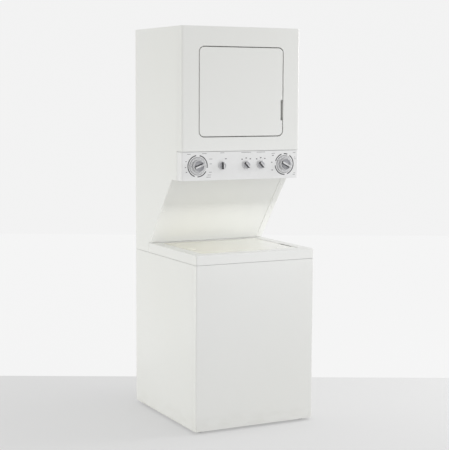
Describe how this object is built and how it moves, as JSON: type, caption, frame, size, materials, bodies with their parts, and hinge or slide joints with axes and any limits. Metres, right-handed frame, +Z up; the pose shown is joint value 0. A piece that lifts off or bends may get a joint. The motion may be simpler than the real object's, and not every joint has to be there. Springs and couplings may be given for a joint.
{
  "type": "stacked laundry centre",
  "caption": "One-cabinet laundry stack: a top-loading washer with a lift-up lid below, and a dryer with a flush side-hinged door and a knob console above a sloping recess.",
  "frame": {"origin": "on the floor, under the middle of the object's bounding box", "axes": "+X to the right as seen from the front, +Y to the back, +Z up; the door and console face -Y"},
  "size_m": [0.606, 0.673, 1.822],
  "materials": {
    "white_enamel": "baked gloss enamel, slight orange peel",
    "console_plastic": "fine satin moulding",
    "knob_plastic": "satin moulding with soft edges",
    "white_liner": "glossy vacuum-formed liner",
    "galvanized_steel": "zinc-coated sheet with faint spangle",
    "drum_enamel": "powder-coated",
    "porcelain": "glossy porcelain",
    "tub_plastic": "moulded polypropylene",
    "grey_plastic": "moulded nylon",
    "motor_paint": "dull black paint",
    "machined_steel": "turned steel",
    "cast_gearcase": "as-cast",
    "black_rubber": "matt rubber",
    "felt": "pressed felt"
  },
  "bodies": {
    "cabinet": {"washer_front_panel": "white_enamel", "washer_cabinet": "white_enamel", "base_frame": "galvanized_steel", "leveling_feet": "machined_steel", "washer_top_deck": "white_enamel", "cabinet_side_left": "white_enamel", "cabinet_side_right": "white_enamel", "slant_panel": "white_enamel", "top_panel": "white_enamel", "upper_back_panel": "galvanized_steel", "dryer_front_panel": "white_enamel", "console_panel": "console_plastic", "console_switches": "grey_plastic", "pivot_pins": "galvanized_steel", "front_bulkhead": "galvanized_steel", "rear_bulkhead": "galvanized_steel", "heater_box": "galvanized_steel", "lint_chute": "grey_plastic", "drum_belt": "black_rubber", "dryer_motor": "motor_paint", "blower_housing": "galvanized_steel", "idler_arm": "galvanized_steel", "dryer_base_shelf": "galvanized_steel", "safety_switches": "grey_plastic", "water_connections": "grey_plastic", "cord_inlet_bush": "black_rubber", "panel_screws": "galvanized_steel", "suspension_rods": "galvanized_steel", "suspension_springs": "machined_steel"},
    "dryer_door": {"door_outer_panel": "white_enamel", "door_inner_liner": "white_liner", "door_seal": "felt"},
    "door_plunger": {"door_switch_plunger": "grey_plastic"},
    "lint_screen": {"lint_screen": "grey_plastic"},
    "drum": {"drum_shell": "drum_enamel", "drum_baffles": "drum_enamel"},
    "motor_rotor": {"dryer_motor_shaft": "machined_steel", "blower_wheel": "grey_plastic"},
    "idler": {"idler_pulley": "grey_plastic"},
    "roller_left": {"drum_roller_left": "black_rubber"},
    "roller_right": {"drum_roller_right": "black_rubber"},
    "washer_lid": {"washer_lid": "white_enamel"},
    "lid_plunger": {"lid_switch_plunger": "grey_plastic"},
    "washer_dial": {"washer_timer_dial": "knob_plastic"},
    "washer_knob": {"washer_timer_knob": "knob_plastic"},
    "dryer_dial": {"dryer_timer_dial": "knob_plastic"},
    "dryer_knob": {"dryer_timer_knob": "knob_plastic"},
    "level_selector": {"water_level_knob": "knob_plastic"},
    "wash_heat_selector": {"water_temperature_knob": "knob_plastic"},
    "dry_heat_selector": {"dryer_heat_knob": "knob_plastic"},
    "tub": {"outer_tub": "tub_plastic", "tub_cover": "white_liner", "gearcase": "cast_gearcase", "washer_motor": "motor_paint", "drain_pump": "grey_plastic"},
    "basket": {"wash_basket": "porcelain", "balance_ring": "tub_plastic"},
    "agitator": {"agitator": "tub_plastic", "agitator_auger": "tub_plastic"},
    "washer_drive": {"motor_coupling": "black_rubber"}
  },
  "joints": [
    {"name": "door_swing", "type": "hinge", "parent": "cabinet", "child": "dryer_door", "pos_m": [-0.2, -0.1815, 1.529], "axis": [0, 0, -1], "range_deg": [0, 100]},
    {"name": "door_plunger_press", "type": "slide", "parent": "cabinet", "child": "door_plunger", "axis": [0, -1, 0], "range_m": [0, 0.003]},
    {"name": "lint_screen_lift", "type": "slide", "parent": "cabinet", "child": "lint_screen", "axis": [0, 0, 1], "range_m": [0, 0.125]},
    {"name": "drum_spin", "type": "hinge", "parent": "cabinet", "child": "drum", "pos_m": [0, 0.0665, 1.535], "axis": [0, 1, 0], "continuous": true},
    {"name": "motor_spin", "type": "hinge", "parent": "cabinet", "child": "motor_rotor", "pos_m": [0.175, 0.0665, 1.21], "axis": [0, 1, 0], "continuous": true},
    {"name": "idler_spin", "type": "hinge", "parent": "cabinet", "child": "idler", "pos_m": [0.085, 0.201, 1.215], "axis": [0, 1, 0], "continuous": true},
    {"name": "roller_left_spin", "type": "hinge", "parent": "cabinet", "child": "roller_left", "pos_m": [-0.17, 0.2335, 1.2911], "axis": [0, 1, 0], "continuous": true},
    {"name": "roller_right_spin", "type": "hinge", "parent": "cabinet", "child": "roller_right", "pos_m": [0.17, 0.2335, 1.2911], "axis": [0, 1, 0], "continuous": true},
    {"name": "lid_swing", "type": "hinge", "parent": "cabinet", "child": "washer_lid", "pos_m": [0, 0.1275, 0.805], "axis": [-1, 0, 0], "range_deg": [0, 51]},
    {"name": "lid_plunger_press", "type": "slide", "parent": "cabinet", "child": "lid_plunger", "axis": [0, 0, 1], "range_m": [0, 0.003]},
    {"name": "washer_dial_turn", "type": "hinge", "parent": "cabinet", "child": "washer_dial", "pos_m": [-0.222, -0.1862, 1.195], "axis": [0, 1, 0], "continuous": true},
    {"name": "washer_knob_pull", "type": "slide", "parent": "washer_dial", "child": "washer_knob", "axis": [0, -1, 0], "range_m": [0, 0.006]},
    {"name": "dryer_dial_turn", "type": "hinge", "parent": "cabinet", "child": "dryer_dial", "pos_m": [0.227, -0.1862, 1.195], "axis": [0, 1, 0], "continuous": true},
    {"name": "dryer_knob_push", "type": "slide", "parent": "dryer_dial", "child": "dryer_knob", "axis": [0, 1, 0], "range_m": [0, 0.003], "stiffness_N_per_m": 400},
    {"name": "level_turn", "type": "hinge", "parent": "cabinet", "child": "level_selector", "pos_m": [-0.098, -0.1862, 1.195], "axis": [0, 1, 0], "range_deg": [-70, 70]},
    {"name": "wash_heat_turn", "type": "hinge", "parent": "cabinet", "child": "wash_heat_selector", "pos_m": [0.026, -0.1862, 1.195], "axis": [0, 1, 0], "range_deg": [0, 84]},
    {"name": "dry_heat_turn", "type": "hinge", "parent": "cabinet", "child": "dry_heat_selector", "pos_m": [0.102, -0.1862, 1.195], "axis": [0, 1, 0], "range_deg": [0, 84]},
    {"name": "tub_bounce", "type": "slide", "parent": "cabinet", "child": "tub", "axis": [0, 0, 1], "range_m": [-0.01, 0.01], "stiffness_N_per_m": 40000, "springref_m": 0.0086, "deforming": ["suspension_springs"]},
    {"name": "basket_spin", "type": "hinge", "parent": "tub", "child": "basket", "pos_m": [0, -0.0615, 0.5], "axis": [0, 0, 1], "continuous": true},
    {"name": "agitator_swing", "type": "hinge", "parent": "basket", "child": "agitator", "pos_m": [0, -0.0615, 0.5], "axis": [0, 0, 1], "range_deg": [-95, 95]},
    {"name": "washer_drive_spin", "type": "hinge", "parent": "tub", "child": "washer_drive", "pos_m": [0, -0.1365, 0.195], "axis": [0, 1, 0], "continuous": true}
  ],
  "couplings": [
    {"joint": "door_plunger_press", "follows": "door_swing", "m_per_rad": 0.0017},
    {"joint": "lid_plunger_press", "follows": "lid_swing", "m_per_rad": 0.0033},
    {"joint": "motor_spin", "follows": "drum_spin", "ratio": 29.111},
    {"joint": "idler_spin", "follows": "drum_spin", "ratio": 11.909},
    {"joint": "roller_left_spin", "follows": "drum_spin", "ratio": -7.486},
    {"joint": "roller_right_spin", "follows": "drum_spin", "ratio": -7.486},
    {"joint": "washer_drive_spin", "follows": "basket_spin", "ratio": 2.8}
  ]
}
